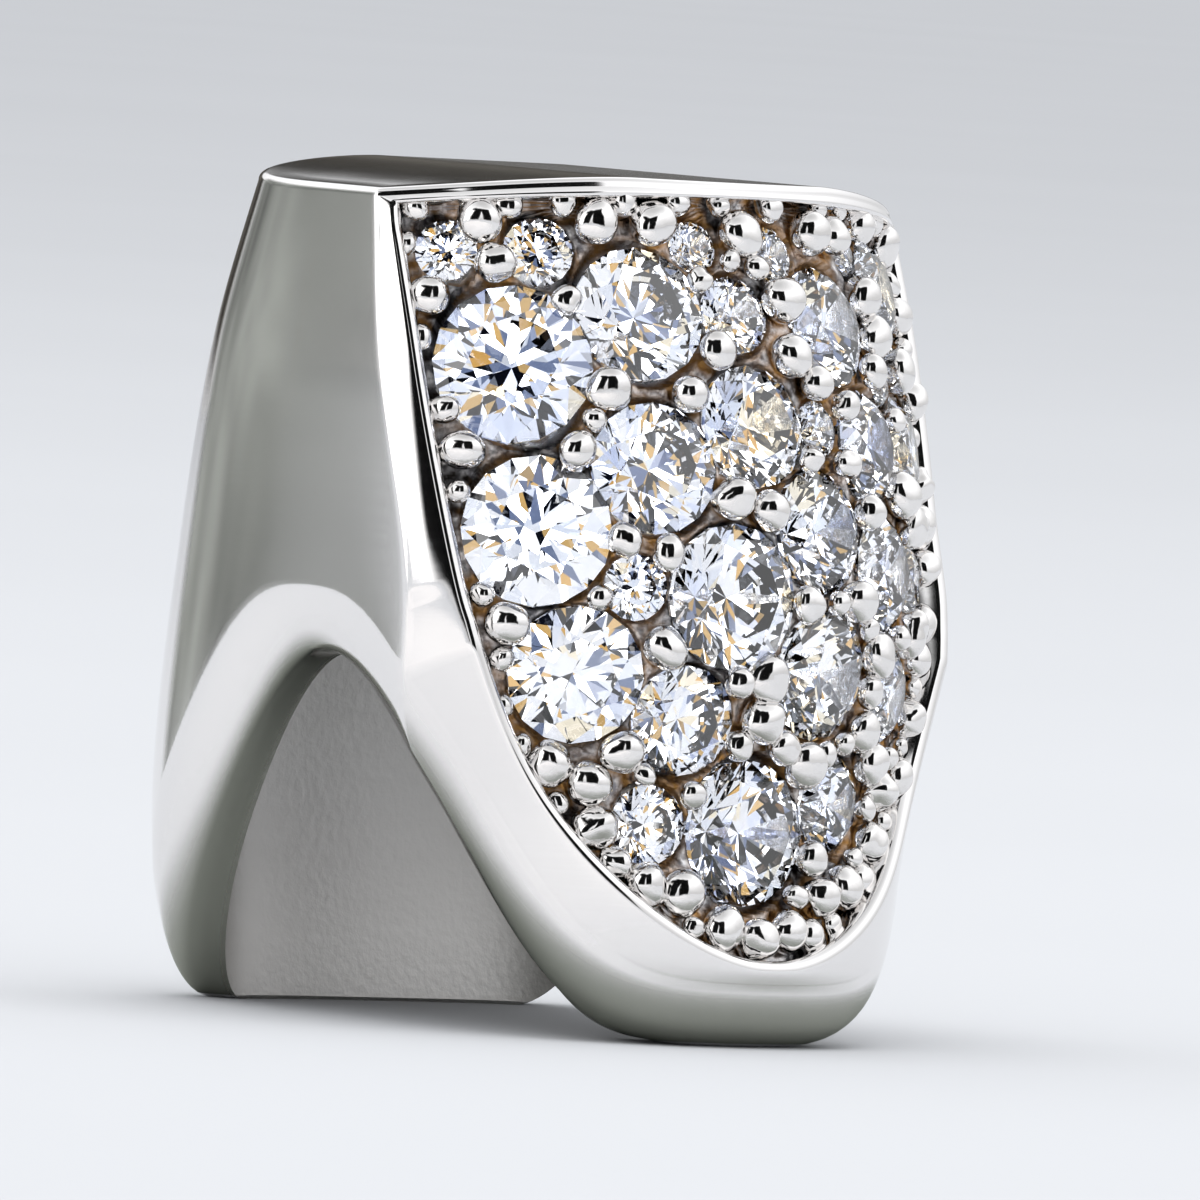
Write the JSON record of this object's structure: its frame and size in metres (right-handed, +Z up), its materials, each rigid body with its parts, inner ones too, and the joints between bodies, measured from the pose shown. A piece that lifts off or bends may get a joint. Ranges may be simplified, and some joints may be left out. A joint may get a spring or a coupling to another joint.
{
  "type": "fang cap",
  "caption": "Slip-on cap for a lower canine tooth: a hollow polished metal shell with a rimmed, shield-shaped front paved with round clear stones held by beads.",
  "frame": {"origin": "centre of the bounding box's bottom face, on the surface that the gum edge stands on", "axes": "+Z up from the gum edge to the biting plate, -Y out of the paved front, +X to the wearer's back teeth"},
  "size_m": [0.008, 0.0077, 0.0096],
  "materials": {
    "white_metal": "polished",
    "clear_stone": "faceted"
  },
  "bodies": {
    "root": {"cap_shell": "white_metal", "stone_01": "clear_stone", "stone_02": "clear_stone", "stone_03": "clear_stone", "stone_04": "clear_stone", "stone_05": "clear_stone", "stone_06": "clear_stone", "stone_07": "clear_stone", "stone_08": "clear_stone", "stone_09": "clear_stone", "stone_10": "clear_stone", "stone_11": "clear_stone", "stone_12": "clear_stone", "stone_13": "clear_stone", "stone_14": "clear_stone", "stone_15": "clear_stone", "stone_16": "clear_stone", "stone_17": "clear_stone", "stone_18": "clear_stone", "stone_19": "clear_stone", "stone_20": "clear_stone", "stone_21": "clear_stone", "stone_22": "clear_stone", "stone_23": "clear_stone", "stone_24": "clear_stone", "stone_25": "clear_stone", "stone_26": "clear_stone", "stone_27": "clear_stone", "stone_28": "clear_stone", "stone_29": "clear_stone", "stone_30": "clear_stone"}
  },
  "joints": []
}
